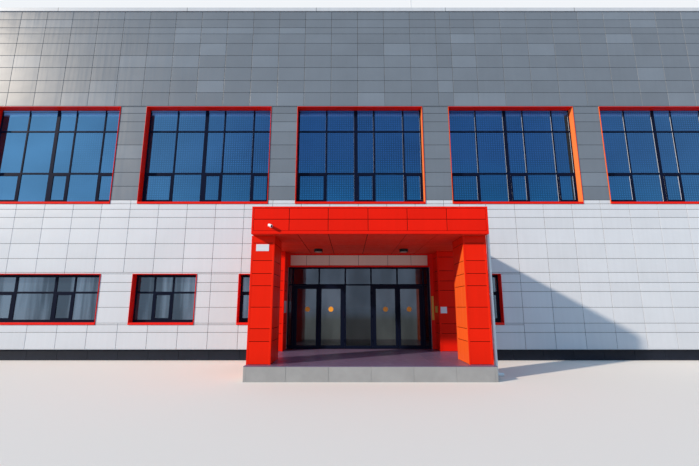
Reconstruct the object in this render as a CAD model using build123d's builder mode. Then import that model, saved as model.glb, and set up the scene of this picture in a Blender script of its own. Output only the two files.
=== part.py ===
"""School building: main block of five window bays with a red entrance portico.

Millimetres. +X runs along the front to the right, +Y to the back, +Z up.
The origin is the centre of the main block's footprint, at ground level.
"""
import os

from build123d import *

os.makedirs("parts", exist_ok=True)

# Main block
bay_count = 5
pier_width = 1150
end_margin = 60
block_depth = 18000
wall_thickness = 500
base_height = 430
plinth_recess = 60
plinth_thickness = 380
upper_slab_top = 4850
upper_slab_thickness = 350
roof_slab_top = 14200
roof_slab_thickness = 350
wall_top = 15150

# Coping on the parapet
coping_height = 190
coping_overhang = 60
coping_inner_overhang = 40
coping_chamfer = 12

# Tall upper windows, heights above the floor; each bar is the offset of its middle line and its width
upper_window_width = 5510
upper_window_bottom = 5910
upper_window_top = 10345
upper_reveal = 280
upper_mullions = ((-1475, 70), (-178, 155), (636, 70), (1936, 70))
upper_low_rail_rise = 1440
upper_low_rail_height = 80
upper_high_rail_drop = 1040
upper_sash_columns = (0, 2, 4)

# Lower windows, heights above the floor
lower_window_bottom = 935
lower_window_top = 2960
lower_reveal = 270
lower_rail_drop = 745
wide_window_offset = -80
wide_window_width = 5610
wide_window_mullions = ((-1610, 70), (-820, 110), (820, 110), (1610, 70))
wide_window_sashes = (1, 3)
middle_window_offset = -1321
middle_window_width = 2613
middle_window_mullions = ((-515, 70), (255, 70))
middle_window_sashes = (1,)
narrow_window_width = 600
narrow_window_sashes = (0,)
narrow_window_left_distance = 920
narrow_window_right_distance = 1400

# Window parts
lining_thickness = 20
lining_sill_height = 88
lining_projection = 50
frame_side_edge = 60
frame_head_edge = 95
frame_sill_edge = 100
bar_width = 70
sash_width = 58
window_frame_depth = 50
glass_thickness = 24

# Portico
portico_reach = 4520
pillar_width = 710
pillar_depth = 1200
pillar_setback = 300
pilaster_reach = 820
left_pilaster_width = 484
right_pilaster_width = 756
right_pilaster_clearance = 137
canopy_underside = 3780
canopy_height = 845
fascia_left_inset = 50
fascia_thickness = 60
soffit_thickness = 40
deck_thickness = 120
deck_recess = 60
platform_setback = 20

# Entrance glazing, heights above the floor
glazing_left = -2960
glazing_height = 3240
glazing_setback = 120
entrance_frame_depth = 80
post_width = 60
left_end_post_width = 40
left_side_light_width = 120
centre_light_width = 998
right_side_light_width = 130
right_end_post_width = 90
head_bar = 60
transom_bottom = 2495
transom_height = 60
sill_bar = 120
entrance_lining_height = 60

# Door leaves
leaf_width = 1030
leaf_thickness = 50
jamb_gap = 6
meeting_gap = 10
head_gap = 8
floor_gap = 10
hinge_stile_width = 150
meeting_stile_width = 98
top_rail = 125
bottom_rail = 120
door_glass_thickness = 16

# Hinges
hinge_axis_offset = 14
barrel_radius = 9
pin_radius = 4
pin_clearance = 0.5
pin_sides = 12
knuckle_height = 50
knuckle_gap = 1
hinge_plate = 5
hinge_plate_width = 45
hinge_inset = 240

# Pull handles
handle_diameter = 32
handle_standoff = 60
handle_bottom = 860
handle_length = 800
handle_post_size = 16
handle_post_inset = 100

# Small fittings
light_radius = 160
light_depth = 110
light_rim = 16
light_recess = 14
light_offsets = (-1762, 1456)
light_distance = 1380
camera_inset = 635
camera_rise = 235
camera_base_radius = 45
camera_base_depth = 14
camera_neck_radius = 13
camera_neck_length = 86
camera_radius = 45
camera_length = 120
camera_hood = 16
camera_hood_wall = 6
camera_aim = (0.80, -0.48, -0.36)
downpipe_radius = 50
downpipe_gap = 50
downpipe_setback = 120
downpipe_rise = 430
downpipe_bend = 75
downpipe_shoe = 200
downpipe_foot = 90
bracket_heights = (600, 2000, 3400)
bracket_height = 40
bracket_width = 30
mast_radius = 25
mast_height = 1200
mast_offset = 2450

# Derived sizes
bay_width = upper_window_width + pier_width
block_length = bay_count * bay_width + 2 * end_margin
half_length = block_length / 2
half_depth = block_depth / 2
floor = base_height
inner_depth = half_depth - wall_thickness
inner_length = half_length - wall_thickness
window_axes = [(i - (bay_count - 1) / 2) * bay_width for i in range(bay_count)]
lower_top = floor + upper_window_bottom
pier_top = floor + upper_window_top
parapet_top = floor + wall_top
portico_front = half_depth + portico_reach
canopy_bottom = floor + canopy_underside
canopy_top = canopy_bottom + canopy_height
glazing_front = half_depth - glazing_setback
glazing_head = floor + glazing_height
entrance_lining_top = glazing_head + entrance_lining_height
posts_clear = floor + transom_bottom
frame_back = glazing_front - entrance_frame_depth
leaf_bottom = floor + floor_gap
leaf_top = posts_clear - head_gap

# The entrance row is built up from its left end: end post, side light, door pair, centre light,
# door pair, side light, end post
door_bay_width = 2 * leaf_width + 2 * jamb_gap + meeting_gap
light_widths = [left_side_light_width, door_bay_width, centre_light_width, door_bay_width,
                right_side_light_width]
spans = []
next_left = glazing_left + left_end_post_width
for light_width in light_widths:
    spans.append((next_left, next_left + light_width))
    next_left += light_width + post_width
glazing_right = next_left - post_width + right_end_post_width
portico_left = glazing_left - left_pilaster_width
portico_right = glazing_right + right_pilaster_clearance + right_pilaster_width
portico_centre = (portico_left + portico_right) / 2
fascia_left = portico_left + fascia_left_inset

front_lower_windows = [
    (window_axes[0] + wide_window_offset, wide_window_width, wide_window_mullions,
     wide_window_sashes),
    (window_axes[1] + middle_window_offset, middle_window_width, middle_window_mullions,
     middle_window_sashes),
    (portico_left - narrow_window_left_distance - narrow_window_width / 2, narrow_window_width, (),
     narrow_window_sashes),
    (portico_right + narrow_window_right_distance + narrow_window_width / 2, narrow_window_width, (),
     narrow_window_sashes),
]
back_lower_windows = [
    (axis, middle_window_width, middle_window_mullions, middle_window_sashes) for axis in window_axes
]


def plan_rectangle(x0, x1, y0, y1, mode=Mode.ADD):
    """Rectangle between two corners in the open sketch."""
    with Locations(((x0 + x1) / 2, (y0 + y1) / 2)):
        Rectangle(x1 - x0, y1 - y0, mode=mode)


def slab(x0, x1, y0, y1, bottom, height):
    """Rectangular slab drawn in plan and raised from its bottom."""
    with BuildSketch(Plane.XY.offset(bottom)) as plan:
        plan_rectangle(x0, x1, y0, y1)
    extrude(plan.sketch, amount=height)


def front_plane(distance):
    """Upright plane facing the front, at a distance in front of the origin."""
    return Plane.XZ.offset(distance)


def back_plane(distance):
    """Upright plane facing the back, at a distance behind the origin."""
    return Plane(origin=(0, distance, 0), x_dir=(-1, 0, 0), z_dir=(0, 1, 0))


def save(part, name):
    """Label a finished piece and write it."""
    part.label = name
    export_step(part, f"parts/{name}.step")


# Base, floors and roof
with BuildPart() as plinth:
    with BuildSketch():
        Rectangle(block_length - 2 * plinth_recess, block_depth - 2 * plinth_recess)
        Rectangle(
            block_length - 2 * plinth_recess - 2 * plinth_thickness,
            block_depth - 2 * plinth_recess - 2 * plinth_thickness,
            mode=Mode.SUBTRACT,
        )
    extrude(amount=base_height)
save(plinth.part, "plinth")

with BuildPart() as ground_floor:
    with BuildSketch():
        Rectangle(
            block_length - 2 * plinth_recess - 2 * plinth_thickness,
            block_depth - 2 * plinth_recess - 2 * plinth_thickness,
        )
    extrude(amount=base_height)
save(ground_floor.part, "ground_floor")

with BuildPart() as upper_floor:
    with BuildSketch(Plane.XY.offset(floor + upper_slab_top - upper_slab_thickness)):
        Rectangle(2 * inner_length, 2 * inner_depth)
    extrude(amount=upper_slab_thickness)
save(upper_floor.part, "upper_floor")

with BuildPart() as roof_slab:
    with BuildSketch(Plane.XY.offset(floor + roof_slab_top - roof_slab_thickness)):
        Rectangle(2 * inner_length, 2 * inner_depth)
    extrude(amount=roof_slab_thickness)
save(roof_slab.part, "roof_slab")


# Lower walls, with their windows cut through
def lower_wall(x0, x1, bottom, windows):
    """Wall elevation from bottom to the upper window sills, with lower windows cut out."""
    plan_rectangle(x0, x1, bottom, lower_top)
    for centre, width, _, _ in windows:
        plan_rectangle(
            centre - width / 2,
            centre + width / 2,
            floor + lower_window_bottom,
            floor + lower_window_top,
            mode=Mode.SUBTRACT,
        )


with BuildPart() as front_wall_left:
    with BuildSketch(front_plane(inner_depth)):
        left_windows = [window for window in front_lower_windows if window[0] < glazing_left]
        lower_wall(-half_length, glazing_left, floor, left_windows)
    extrude(amount=wall_thickness)
save(front_wall_left.part, "front_wall_left")

with BuildPart() as front_wall_right:
    with BuildSketch(front_plane(inner_depth)):
        right_windows = [window for window in front_lower_windows if window[0] > glazing_right]
        lower_wall(glazing_right, half_length, floor, right_windows)
    extrude(amount=wall_thickness)
save(front_wall_right.part, "front_wall_right")

with BuildPart() as front_wall_over_entrance:
    with BuildSketch(front_plane(inner_depth)):
        lower_wall(glazing_left, glazing_right, entrance_lining_top, [])
    extrude(amount=wall_thickness)
save(front_wall_over_entrance.part, "front_wall_over_entrance")

with BuildPart() as back_wall_lower:
    with BuildSketch(back_plane(inner_depth)):
        lower_wall(-half_length, half_length, floor, back_lower_windows)
    extrude(amount=wall_thickness)
save(back_wall_lower.part, "back_wall_lower")


# Upper walls: piers between the tall windows and the plain band above them
def pier_elevations():
    """Piers between the tall windows and at both ends of a long side."""
    edges = [-half_length]
    for axis in window_axes:
        edges += [axis - upper_window_width / 2, axis + upper_window_width / 2]
    edges.append(half_length)
    for left, right in zip(edges[0::2], edges[1::2]):
        plan_rectangle(left, right, lower_top, pier_top)


with BuildPart() as front_piers:
    with BuildSketch(front_plane(inner_depth)):
        pier_elevations()
    extrude(amount=wall_thickness)
save(front_piers.part, "front_piers")

with BuildPart() as back_piers:
    with BuildSketch(back_plane(inner_depth)):
        pier_elevations()
    extrude(amount=wall_thickness)
save(back_piers.part, "back_piers")

with BuildPart() as front_wall_top:
    slab(-half_length, half_length, -half_depth, -inner_depth, pier_top, parapet_top - pier_top)
save(front_wall_top.part, "front_wall_top")

with BuildPart() as back_wall_top:
    slab(-half_length, half_length, inner_depth, half_depth, pier_top, parapet_top - pier_top)
save(back_wall_top.part, "back_wall_top")

for side, name in ((-1, "left"), (1, "right")):
    wall_left, wall_right = sorted((side * half_length, side * inner_length))
    with BuildPart() as end_wall_lower:
        slab(wall_left, wall_right, -inner_depth, inner_depth, floor, lower_top - floor)
    save(end_wall_lower.part, f"{name}_wall_lower")
    with BuildPart() as end_wall_upper:
        slab(wall_left, wall_right, -inner_depth, inner_depth, lower_top, parapet_top - lower_top)
    save(end_wall_upper.part, f"{name}_wall_upper")

with BuildPart() as roof_coping:
    with BuildSketch(Plane.XY.offset(parapet_top)):
        Rectangle(block_length + 2 * coping_overhang, block_depth + 2 * coping_overhang)
        Rectangle(
            2 * inner_length - 2 * coping_inner_overhang,
            2 * inner_depth - 2 * coping_inner_overhang,
            mode=Mode.SUBTRACT,
        )
    extrude(amount=coping_height)
    chamfer(roof_coping.edges().group_by(Axis.Z)[-1], length=coping_chamfer)
save(roof_coping.part, "roof_coping")


# Window linings, frames and glass
def lining_ring(centre, width, bottom, top):
    """Sheet metal lining around a window opening with its deeper sill, as an elevation."""
    plan_rectangle(centre - width / 2, centre + width / 2, bottom, top)
    plan_rectangle(
        centre - width / 2 + lining_thickness,
        centre + width / 2 - lining_thickness,
        bottom + lining_sill_height,
        top - lining_thickness,
        mode=Mode.SUBTRACT,
    )


def frame_grid(centre, width, bottom, top, mullions, rails, sash_columns):
    """Window frame with a pane cut out between each pair of bars.

    Bars are given by the middle line and the width of each. The bottom pane of a sash
    column is smaller by the ring of its opening sash.
    """
    left = centre - width / 2
    right = centre + width / 2
    side_edge = lining_thickness + frame_side_edge
    head_edge = lining_thickness + frame_head_edge
    sill_edge = lining_sill_height + frame_sill_edge
    plan_rectangle(left, right, bottom, top)
    lefts = [left + side_edge] + [centre + line + size / 2 for line, size in mullions]
    rights = [centre + line - size / 2 for line, size in mullions] + [right - side_edge]
    bottoms = [bottom + sill_edge] + [line + size / 2 for line, size in rails]
    tops = [line - size / 2 for line, size in rails] + [top - head_edge]
    for column, (pane_left, pane_right) in enumerate(zip(lefts, rights)):
        for row, (pane_bottom, pane_top) in enumerate(zip(bottoms, tops)):
            ring = sash_width if row == 0 and column in sash_columns else 0
            plan_rectangle(pane_left + ring, pane_right - ring, pane_bottom + ring, pane_top - ring,
                           mode=Mode.SUBTRACT)


upper_bottom = floor + upper_window_bottom
lower_bottom = floor + lower_window_bottom
lower_head = floor + lower_window_top
upper_rails = [(upper_bottom + upper_low_rail_rise, upper_low_rail_height),
               (pier_top - upper_high_rail_drop, bar_width)]
lower_rails = [(lower_head - lower_rail_drop, bar_width)]

with BuildPart() as upper_window_linings:
    for plane in (front_plane, back_plane):
        with BuildSketch(plane(half_depth - upper_reveal)):
            for axis in window_axes:
                lining_ring(axis, upper_window_width, upper_bottom, pier_top)
        extrude(amount=upper_reveal + lining_projection)
save(upper_window_linings.part, "upper_window_linings")

with BuildPart() as upper_window_frames:
    for plane in (front_plane, back_plane):
        with BuildSketch(plane(half_depth - upper_reveal - window_frame_depth)):
            for axis in window_axes:
                frame_grid(axis, upper_window_width, upper_bottom, pier_top, upper_mullions, upper_rails,
                           upper_sash_columns)
        extrude(amount=window_frame_depth)
save(upper_window_frames.part, "upper_window_frames")

with BuildPart() as upper_window_glass:
    for plane in (front_plane, back_plane):
        with BuildSketch(plane(half_depth - upper_reveal - window_frame_depth - glass_thickness)):
            for axis in window_axes:
                plan_rectangle(axis - upper_window_width / 2, axis + upper_window_width / 2,
                               upper_bottom, pier_top)
        extrude(amount=glass_thickness)
save(upper_window_glass.part, "upper_window_glass")

lower_sides = ((front_plane, front_lower_windows), (back_plane, back_lower_windows))

with BuildPart() as lower_window_linings:
    for plane, windows in lower_sides:
        with BuildSketch(plane(half_depth - lower_reveal)):
            for centre, width, _, _ in windows:
                lining_ring(centre, width, lower_bottom, lower_head)
        extrude(amount=lower_reveal + lining_projection)
save(lower_window_linings.part, "lower_window_linings")

with BuildPart() as lower_window_frames:
    for plane, windows in lower_sides:
        with BuildSketch(plane(half_depth - lower_reveal - window_frame_depth)):
            for centre, width, mullions, sash_columns in windows:
                frame_grid(centre, width, lower_bottom, lower_head, mullions, lower_rails, sash_columns)
        extrude(amount=window_frame_depth)
save(lower_window_frames.part, "lower_window_frames")

with BuildPart() as lower_window_glass:
    for plane, windows in lower_sides:
        with BuildSketch(plane(half_depth - lower_reveal - window_frame_depth - glass_thickness)):
            for centre, width, _, _ in windows:
                plan_rectangle(centre - width / 2, centre + width / 2, lower_bottom, lower_head)
        extrude(amount=glass_thickness)
save(lower_window_glass.part, "lower_window_glass")

# Portico
platform_front = portico_front - platform_setback
platform_back = half_depth - plinth_recess
with BuildPart() as porch_platform:
    slab(portico_left, portico_right, -platform_front, -platform_back, 0, base_height)
save(porch_platform.part, "porch_platform")

pillar_front = portico_front - pillar_setback
with BuildPart() as portico_pillars:
    for left in (portico_left, portico_right - pillar_width):
        slab(left, left + pillar_width, -pillar_front, -pillar_front + pillar_depth, floor, canopy_underside)
save(portico_pillars.part, "portico_pillars")

pilaster_front = half_depth + pilaster_reach
with BuildPart() as portico_pilasters:
    slab(portico_left, portico_left + left_pilaster_width, -pilaster_front, -half_depth,
         floor, canopy_underside)
    slab(portico_right - right_pilaster_width, portico_right, -pilaster_front, -half_depth,
         floor, canopy_underside)
save(portico_pilasters.part, "portico_pilasters")

with BuildPart() as portico_fascia:
    with BuildSketch(Plane.XY.offset(canopy_bottom)):
        plan_rectangle(fascia_left, portico_right, -portico_front, -half_depth)
        plan_rectangle(fascia_left + fascia_thickness, portico_right - fascia_thickness,
                       -portico_front + fascia_thickness, -half_depth, mode=Mode.SUBTRACT)
    extrude(amount=canopy_height)
save(portico_fascia.part, "portico_fascia")

inside_left = fascia_left + fascia_thickness
inside_right = portico_right - fascia_thickness
inside_front = -portico_front + fascia_thickness
with BuildPart() as portico_soffit:
    slab(inside_left, inside_right, inside_front, -half_depth, canopy_bottom, soffit_thickness)
save(portico_soffit.part, "portico_soffit")

with BuildPart() as canopy_deck:
    slab(inside_left, inside_right, inside_front, -half_depth,
         canopy_top - deck_recess - deck_thickness, deck_thickness)
save(canopy_deck.part, "canopy_deck")

# Entrance glazing
side_lights = [spans[0], spans[2], spans[4]]
door_bays = [spans[1], spans[3]]
top_lights = list(side_lights)
for left, right in door_bays:
    middle = (left + right) / 2
    top_lights += [(left, middle - post_width / 2), (middle + post_width / 2, right)]

with BuildPart() as entrance_lining:
    slab(glazing_left, glazing_right, -half_depth - lining_projection, -inner_depth,
         glazing_head, entrance_lining_height)
save(entrance_lining.part, "entrance_lining")

with BuildPart() as entrance_posts:
    with BuildSketch(front_plane(frame_back)):
        plan_rectangle(glazing_left, glazing_left + left_end_post_width, floor, glazing_head)
        plan_rectangle(glazing_right - right_end_post_width, glazing_right, floor, glazing_head)
        for (_, post_left), (post_right, _) in zip(spans, spans[1:]):
            plan_rectangle(post_left, post_right, floor, glazing_head)
        for left, right in door_bays:
            middle = (left + right) / 2
            plan_rectangle(middle - post_width / 2, middle + post_width / 2,
                           posts_clear + transom_height, glazing_head)
    extrude(amount=entrance_frame_depth)
save(entrance_posts.part, "entrance_posts")

with BuildPart() as entrance_rails:
    with BuildSketch(front_plane(frame_back)):
        for left, right in spans:
            plan_rectangle(left, right, posts_clear, posts_clear + transom_height)
        for left, right in top_lights:
            plan_rectangle(left, right, glazing_head - head_bar, glazing_head)
        for left, right in side_lights:
            plan_rectangle(left, right, floor, floor + sill_bar)
    extrude(amount=entrance_frame_depth)
save(entrance_rails.part, "entrance_rails")

glass_back = (glazing_front + frame_back - door_glass_thickness) / 2
with BuildPart() as entrance_glass:
    with BuildSketch(front_plane(glass_back)):
        for left, right in top_lights:
            plan_rectangle(left, right, posts_clear + transom_height, glazing_head - head_bar)
        for left, right in side_lights:
            plan_rectangle(left, right, floor + sill_bar, posts_clear)
    extrude(amount=door_glass_thickness)
save(entrance_glass.part, "entrance_glass")

# Doors: each leaf is drawn from its hinge axis towards its free edge, side +1 to the right
hinge_y = -(glazing_front + hinge_axis_offset)
handle_y_outside = -(glazing_front + handle_standoff)
handle_y_inside = -(glazing_front - leaf_thickness - handle_standoff)
doors = []
for left, right in door_bays:
    doors.append((left + jamb_gap / 2, 1))
    doors.append((right - jamb_gap / 2, -1))
hinge_height = 2 * knuckle_height + knuckle_gap
lowest_hinge = leaf_bottom + hinge_inset
highest_hinge = leaf_top - hinge_inset - hinge_height
hinge_bottoms = (lowest_hinge, (lowest_hinge + highest_hinge) / 2, highest_hinge)


def span_from(axis_x, side, near, far):
    """Left and right ends of a stretch measured from a hinge axis towards the free edge."""
    return sorted((axis_x + side * near, axis_x + side * far))


def hinge_half(axis_x, side, bottom):
    """Knuckle with a plate that lies on the outer face, on the given side of the axis."""
    with BuildSketch(Plane.XY.offset(bottom)) as plan:
        with Locations((axis_x, hinge_y)):
            Circle(barrel_radius)
        left, right = span_from(axis_x, side, jamb_gap / 2, hinge_plate_width)
        plan_rectangle(left, right, -(glazing_front + hinge_plate), -glazing_front)
        left, right = span_from(axis_x, side, jamb_gap / 2, barrel_radius)
        plan_rectangle(left, right, hinge_y, -glazing_front)
    extrude(plan.sketch, amount=knuckle_height)


with BuildPart() as frame_hinges:
    for axis_x, side in doors:
        for bottom in hinge_bottoms:
            hinge_half(axis_x, -side, bottom)
            with BuildSketch(Plane.XY.offset(bottom + knuckle_height)):
                with Locations((axis_x, hinge_y)):
                    RegularPolygon(pin_radius, pin_sides)
            extrude(amount=knuckle_gap + knuckle_height)
save(frame_hinges.part, "frame_hinges")

for number, (axis_x, side) in enumerate(doors, start=1):
    near = jamb_gap / 2
    far = near + leaf_width
    left, right = span_from(axis_x, side, near, far)
    pane_left, pane_right = span_from(axis_x, side, near + hinge_stile_width, far - meeting_stile_width)
    with BuildPart() as door_leaf:
        with BuildSketch(front_plane(glazing_front - leaf_thickness)):
            plan_rectangle(left, right, leaf_bottom, leaf_top)
            plan_rectangle(pane_left, pane_right,
                           leaf_bottom + bottom_rail, leaf_top - top_rail, mode=Mode.SUBTRACT)
        extrude(amount=leaf_thickness)
    save(door_leaf.part, f"door_{number}_leaf")

    with BuildPart() as door_glass:
        with BuildSketch(front_plane(glazing_front - (leaf_thickness + door_glass_thickness) / 2)):
            plan_rectangle(pane_left, pane_right,
                           leaf_bottom + bottom_rail, leaf_top - top_rail)
        extrude(amount=door_glass_thickness)
    save(door_glass.part, f"door_{number}_glass")

    with BuildPart() as door_hinges:
        for bottom in hinge_bottoms:
            upper_bottom_edge = bottom + knuckle_height + knuckle_gap
            hinge_half(axis_x, side, upper_bottom_edge)
            with BuildSketch(Plane.XY.offset(upper_bottom_edge)):
                with Locations((axis_x, hinge_y)):
                    RegularPolygon(pin_radius + pin_clearance, pin_sides)
            extrude(amount=knuckle_height, mode=Mode.SUBTRACT)
    save(door_hinges.part, f"door_{number}_hinges")

    handle_x = axis_x + side * (far - meeting_stile_width / 2)
    with BuildPart() as door_handles:
        for handle_y, leaf_face in ((handle_y_outside, -glazing_front),
                                    (handle_y_inside, -glazing_front + leaf_thickness)):
            with BuildSketch(Plane.XY.offset(floor + handle_bottom)):
                with Locations((handle_x, handle_y)):
                    Circle(handle_diameter / 2)
            extrude(amount=handle_length)
            for height in (handle_post_inset, handle_length - handle_post_inset):
                with BuildSketch(front_plane(-leaf_face)):
                    with Locations((handle_x, floor + handle_bottom + height)):
                        Rectangle(handle_post_size, handle_post_size)
                extrude(amount=leaf_face - handle_y)
    save(door_handles.part, f"door_{number}_handles")

# Small fittings
with BuildPart() as soffit_lights:
    light_places = [(portico_centre + offset, -half_depth - light_distance) for offset in light_offsets]
    with BuildSketch(Plane.XY.offset(canopy_bottom - light_depth)):
        with Locations(*light_places):
            Circle(light_radius)
    extrude(amount=light_depth)
    with BuildSketch(Plane.XY.offset(canopy_bottom - light_depth)):
        with Locations(*light_places):
            Circle(light_radius - light_rim)
    extrude(amount=light_recess, mode=Mode.SUBTRACT)
save(soffit_lights.part, "soffit_lights")

with BuildPart() as security_camera:
    camera_x = portico_left + camera_inset
    camera_z = canopy_bottom + camera_rise
    with BuildSketch(front_plane(portico_front)):
        with Locations((camera_x, camera_z)):
            Circle(camera_base_radius)
    extrude(amount=camera_base_depth)
    with BuildSketch(front_plane(portico_front)):
        with Locations((camera_x, camera_z)):
            Circle(camera_neck_radius)
    extrude(amount=camera_base_depth + camera_neck_length)
    body_middle = (camera_x, -portico_front - camera_base_depth - camera_neck_length, camera_z)
    body_plane = Plane(origin=body_middle, z_dir=camera_aim)
    with BuildSketch(body_plane.offset(-camera_length / 2)):
        Circle(camera_radius)
    extrude(amount=camera_length)
    with BuildSketch(body_plane.offset(camera_length / 2)):
        Circle(camera_radius - camera_hood_wall)
    extrude(amount=-camera_hood, mode=Mode.SUBTRACT)
save(security_camera.part, "security_camera")

with BuildPart() as downpipe:
    pipe_x = portico_right + downpipe_gap + downpipe_radius
    pipe_y = -(pillar_front - downpipe_setback)
    pipe_top = canopy_bottom + downpipe_rise
    with BuildLine() as route:
        FilletPolyline(
            (portico_right, pipe_y, pipe_top),
            (pipe_x, pipe_y, pipe_top),
            (pipe_x, pipe_y, downpipe_foot + downpipe_radius),
            (pipe_x + downpipe_shoe, pipe_y, downpipe_foot + downpipe_radius),
            radius=downpipe_bend,
        )
    with BuildSketch(Plane(origin=(portico_right, pipe_y, pipe_top), z_dir=(1, 0, 0))):
        Circle(downpipe_radius)
    sweep()
    for height in bracket_heights:
        slab(portico_right, pipe_x, pipe_y - bracket_width / 2, pipe_y + bracket_width / 2,
             floor + height, bracket_height)
save(downpipe.part, "downpipe")

with BuildPart() as roof_mast:
    with BuildSketch(Plane.XY.offset(parapet_top + coping_height)):
        with Locations((mast_offset, -half_depth + wall_thickness / 2)):
            Circle(mast_radius)
    extrude(amount=mast_height)
save(roof_mast.part, "roof_mast")
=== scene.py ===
"""School building: white and grey cassette cladding, red portico, black windows. Metres."""
import math
import random

import bmesh
import bpy
from mathutils import Matrix, Vector


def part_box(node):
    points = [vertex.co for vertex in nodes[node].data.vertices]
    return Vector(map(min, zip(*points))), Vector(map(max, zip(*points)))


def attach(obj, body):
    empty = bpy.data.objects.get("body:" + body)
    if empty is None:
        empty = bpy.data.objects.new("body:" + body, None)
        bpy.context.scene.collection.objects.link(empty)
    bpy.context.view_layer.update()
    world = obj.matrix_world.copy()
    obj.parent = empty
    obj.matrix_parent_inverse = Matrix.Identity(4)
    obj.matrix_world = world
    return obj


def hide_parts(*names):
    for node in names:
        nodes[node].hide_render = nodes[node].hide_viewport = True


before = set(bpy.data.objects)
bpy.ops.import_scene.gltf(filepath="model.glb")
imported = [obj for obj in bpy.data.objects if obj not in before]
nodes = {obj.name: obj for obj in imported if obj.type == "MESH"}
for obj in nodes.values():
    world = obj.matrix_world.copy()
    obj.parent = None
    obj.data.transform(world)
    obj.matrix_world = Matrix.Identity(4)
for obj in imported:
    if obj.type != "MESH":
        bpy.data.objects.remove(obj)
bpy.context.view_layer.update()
chance = random.Random(41)

# Main lines, taken from the frame
half_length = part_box("front_wall_top")[1].x
half_depth = -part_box("front_wall_top")[0].y
floor_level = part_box("plinth")[1].z
plinth_half_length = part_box("plinth")[1].x
plinth_half_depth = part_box("plinth")[1].y
parapet_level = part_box("front_wall_top")[1].z
window_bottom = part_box("upper_window_linings")[0].z
window_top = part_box("upper_window_linings")[1].z
low_window_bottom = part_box("lower_window_linings")[0].z
low_window_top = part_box("lower_window_linings")[1].z
portico_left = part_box("portico_pillars")[0].x
portico_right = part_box("portico_pillars")[1].x
pillar_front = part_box("portico_pillars")[0].y
pillar_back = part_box("portico_pillars")[1].y
pilaster_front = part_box("portico_pilasters")[0].y
fascia_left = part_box("portico_fascia")[0].x
portico_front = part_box("portico_fascia")[0].y
canopy_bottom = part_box("portico_fascia")[0].z
canopy_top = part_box("portico_fascia")[1].z
deck_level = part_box("canopy_deck")[1].z
glazing_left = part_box("entrance_posts")[0].x
glazing_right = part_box("entrance_posts")[1].x
entrance_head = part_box("entrance_lining")[1].z
pillar_width = 0.71
left_pilaster_right = glazing_left
sheet_rounding = 0.003
bar_rounding = 0.004
right_pilaster_left = portico_right - 0.756

# Window layout, as offsets from each window's middle line
bay_width = 6.66
bay_axes = [(i - 2) * bay_width for i in range(5)]
upper_width = 5.51
upper_reveal = 0.28
upper_bars = ((-1.475, 0.07), (-0.178, 0.155), (0.636, 0.07), (1.936, 0.07))
upper_rails = ((window_bottom + 1.44, 0.08), (window_top - 1.04, 0.07))
upper_sashes = (0, 2, 4)
lower_reveal = 0.27
lower_rails = ((low_window_top - 0.745, 0.07),)
wide_bars = ((-1.61, 0.07), (-0.82, 0.11), (0.82, 0.11), (1.61, 0.07))
middle_bars = ((-0.515, 0.07), (0.255, 0.07))
side_edge = 0.08
head_edge = 0.115
sill_edge = 0.188
sash_width = 0.058
sash_play = 0.004
sash_proud = 0.002
sash_depth = 0.022
bead_width = 0.005
bead_setback = 0.021
bead_depth = 0.005
pane_front = 0.024
pane_back = 0.03
head_glass_height = 0.075
head_glass_proud = 0.006
head_glass_back = 0.001
upper_windows = [(axis, upper_width, upper_bars, upper_sashes) for axis in bay_axes]
front_windows = [
    (bay_axes[0] - 0.08, 5.61, wide_bars, (1, 3)),
    (bay_axes[1] - 1.321, 2.613, middle_bars, (1,)),
    (portico_left - 1.22, 0.6, (), (0,)),
    (portico_right + 1.7, 0.6, (), (0,)),
]
back_windows = [(axis, 2.613, middle_bars, (1,)) for axis in bay_axes]

# Wall cladding: heights of its joints above the floor, panel sizes
row_joints = [floor_level + z for z in (
    0.64, 1.0, 1.62, 2.25, 2.61, 3.02, 3.59, 4.21, 4.84, 5.32, 5.67, 6.07, 6.68, 7.3, 7.91, 8.55,
    9.16, 9.63, 10.03, 10.38, 11.03, 11.62, 12.27, 12.87, 13.49, 13.98, 14.3, 14.72)]
white_top = floor_level + 6.07
panel_width = 1.2
panel_depth = 0.02
wall_joint = 0.013
fold = 0.006
shortest_stretch = 0.02
usual_grey = (-0.4, 0.25)
pale_grey = (0.8, 1.3)
pale_share = 0.16
left_column = -6.084
narrow_column_end = 4.19
right_column = 5.295
right_panel_width = 1.205
strip_rows = (entrance_head, floor_level + 3.73)
strip_columns = (-2.87, -2.218, -1.284, -0.084, 1.116, 2.07, 2.746)

# Plinth facing and its drip flashing
slab_top_gap = 0.02
slab_depth = 0.015
slab_joint = 0.006
drip_low = 0.016
drip_high = 0.004
drip_reach = 0.028

# Portico cladding
red_joint = 0.016
red_recess = 0.003
red_sheet = 0.012
red_core = red_recess + red_sheet
corner_trim = 0.06
fascia_columns = (-2.264, -1.094, 0.106, 1.286, 2.476)
fascia_row = floor_level + 4.23
fascia_bottom_trim = 0.1
fascia_top_trim = 0.055
fascia_thickness = 0.06
first_side_panel = 1.14
post_rows = [floor_level + z for z in (0.644, 1.009, 1.629, 2.26, 2.624, 3.014, 3.55)]
soffit_columns = (-2.02, -1.09, 0.09, 1.27, 2.2)
soffit_pitch = 0.6
soffit_joint = 0.018

# Porch platform
platform_inset = 0.01
core_drop = 0.004
kerb_width = 0.08
kerb_length = 1.2
kerb_gap = 0.003
kerb_drop = 0.022
tile_pitch = 0.6
tile_gap = 0.002
tile_rounding = 0.002
tile_thickness = 0.018

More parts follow.
